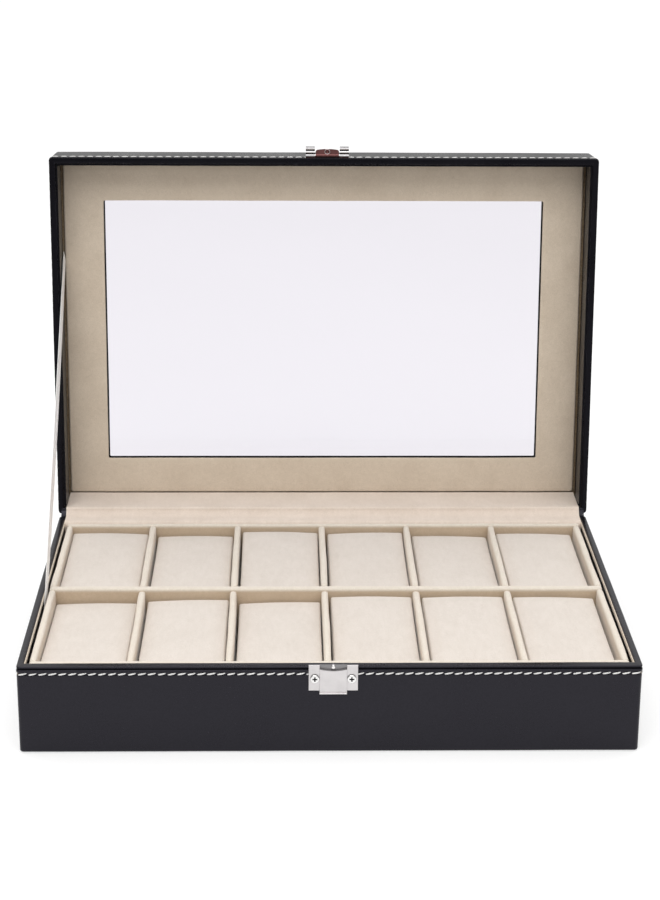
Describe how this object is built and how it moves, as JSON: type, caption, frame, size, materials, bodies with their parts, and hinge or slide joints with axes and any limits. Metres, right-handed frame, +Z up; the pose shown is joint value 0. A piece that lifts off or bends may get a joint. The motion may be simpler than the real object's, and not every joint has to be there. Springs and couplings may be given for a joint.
{
  "type": "watch box",
  "caption": "Hinged watch box: leather-covered case with a lined tray of watch pillows between dividers, glass-topped lid, ribbon stay and hasp.",
  "frame": {"origin": "middle of the underside", "axes": "+X to the right seen from the front, +Y to the hinged back, +Z up"},
  "size_m": [0.3016, 0.2571, 0.2537],
  "materials": {
    "leather": "fine-grained black",
    "board": "raw fibreboard",
    "felt": "black felt",
    "tray_velvet": "short cream velvet",
    "lid_velvet": "short beige velvet",
    "pillow_velvet": "short cream velvet",
    "ribbon": "white satin",
    "glass": "clear",
    "chrome": "polished",
    "steel": "bright plated",
    "hinge_metal": "bright plated"
  },
  "bodies": {
    "base": {"base_floor_panel": "board", "base_front_panel": "board", "base_back_panel": "board", "base_left_panel": "board", "base_right_panel": "board", "base_leather_wrap": "leather", "base_underside_felt": "felt", "base_hinge_rail": "board", "tray_floor_pad": "tray_velvet", "tray_front_liner": "tray_velvet", "tray_back_liner": "tray_velvet", "tray_side_liners": "tray_velvet", "long_divider": "tray_velvet", "short_divider_front_1": "tray_velvet", "short_divider_front_2": "tray_velvet", "short_divider_front_3": "tray_velvet", "short_divider_front_4": "tray_velvet", "short_divider_front_5": "tray_velvet", "short_divider_rear_1": "tray_velvet", "short_divider_rear_2": "tray_velvet", "short_divider_rear_3": "tray_velvet", "short_divider_rear_4": "tray_velvet", "short_divider_rear_5": "tray_velvet", "keeper_plate": "chrome", "keeper_stud": "steel", "keeper_screws": "steel", "hinge_base_leaves": "hinge_metal", "hinge_pins": "steel", "hinge_base_screws": "steel", "stay_ribbon": "ribbon", "hinge_lining": "tray_velvet"},
    "lid": {"lid_front_panel": "board", "lid_back_panel": "board", "lid_left_panel": "board", "lid_right_panel": "board", "lid_top_rails": "board", "lid_leather_wrap": "leather", "lid_glass": "glass", "lid_lining_frame": "lid_velvet", "lid_front_lining": "leather", "lid_side_linings": "leather", "hinge_lid_leaves": "hinge_metal", "hinge_lid_screws": "steel", "hasp_plate": "chrome", "hasp_screws": "steel", "hasp_pin": "steel"},
    "hasp": {"hasp_flap": "chrome"},
    "pillow_front_1": {"pillow_front_1": "pillow_velvet"},
    "pillow_front_2": {"pillow_front_2": "pillow_velvet"},
    "pillow_front_3": {"pillow_front_3": "pillow_velvet"},
    "pillow_front_4": {"pillow_front_4": "pillow_velvet"},
    "pillow_front_5": {"pillow_front_5": "pillow_velvet"},
    "pillow_front_6": {"pillow_front_6": "pillow_velvet"},
    "pillow_rear_1": {"pillow_rear_1": "pillow_velvet"},
    "pillow_rear_2": {"pillow_rear_2": "pillow_velvet"},
    "pillow_rear_3": {"pillow_rear_3": "pillow_velvet"},
    "pillow_rear_4": {"pillow_rear_4": "pillow_velvet"},
    "pillow_rear_5": {"pillow_rear_5": "pillow_velvet"},
    "pillow_rear_6": {"pillow_rear_6": "pillow_velvet"}
  },
  "joints": [
    {"name": "lid_hinge", "type": "hinge", "parent": "base", "child": "lid", "pos_m": [0, 0.1018, 0.04575], "axis": [-1, 0, 0], "range_deg": [-95, 0], "deforming": ["stay_ribbon", "hinge_lining"]},
    {"name": "hasp_hinge", "type": "hinge", "parent": "lid", "child": "hasp", "pos_m": [0.0014, 0.12174, 0.24899], "axis": [-1, 0, 0], "range_deg": [-90, 60]},
    {"name": "pillow_front_1_lift", "type": "slide", "parent": "base", "child": "pillow_front_1", "axis": [0, 0, 1], "range_m": [0, 0.06]},
    {"name": "pillow_front_2_lift", "type": "slide", "parent": "base", "child": "pillow_front_2", "axis": [0, 0, 1], "range_m": [0, 0.06]},
    {"name": "pillow_front_3_lift", "type": "slide", "parent": "base", "child": "pillow_front_3", "axis": [0, 0, 1], "range_m": [0, 0.06]},
    {"name": "pillow_front_4_lift", "type": "slide", "parent": "base", "child": "pillow_front_4", "axis": [0, 0, 1], "range_m": [0, 0.06]},
    {"name": "pillow_front_5_lift", "type": "slide", "parent": "base", "child": "pillow_front_5", "axis": [0, 0, 1], "range_m": [0, 0.06]},
    {"name": "pillow_front_6_lift", "type": "slide", "parent": "base", "child": "pillow_front_6", "axis": [0, 0, 1], "range_m": [0, 0.06]},
    {"name": "pillow_rear_1_lift", "type": "slide", "parent": "base", "child": "pillow_rear_1", "axis": [0, 0, 1], "range_m": [0, 0.06]},
    {"name": "pillow_rear_2_lift", "type": "slide", "parent": "base", "child": "pillow_rear_2", "axis": [0, 0, 1], "range_m": [0, 0.06]},
    {"name": "pillow_rear_3_lift", "type": "slide", "parent": "base", "child": "pillow_rear_3", "axis": [0, 0, 1], "range_m": [0, 0.06]},
    {"name": "pillow_rear_4_lift", "type": "slide", "parent": "base", "child": "pillow_rear_4", "axis": [0, 0, 1], "range_m": [0, 0.06]},
    {"name": "pillow_rear_5_lift", "type": "slide", "parent": "base", "child": "pillow_rear_5", "axis": [0, 0, 1], "range_m": [0, 0.06]},
    {"name": "pillow_rear_6_lift", "type": "slide", "parent": "base", "child": "pillow_rear_6", "axis": [0, 0, 1], "range_m": [0, 0.06]}
  ]
}
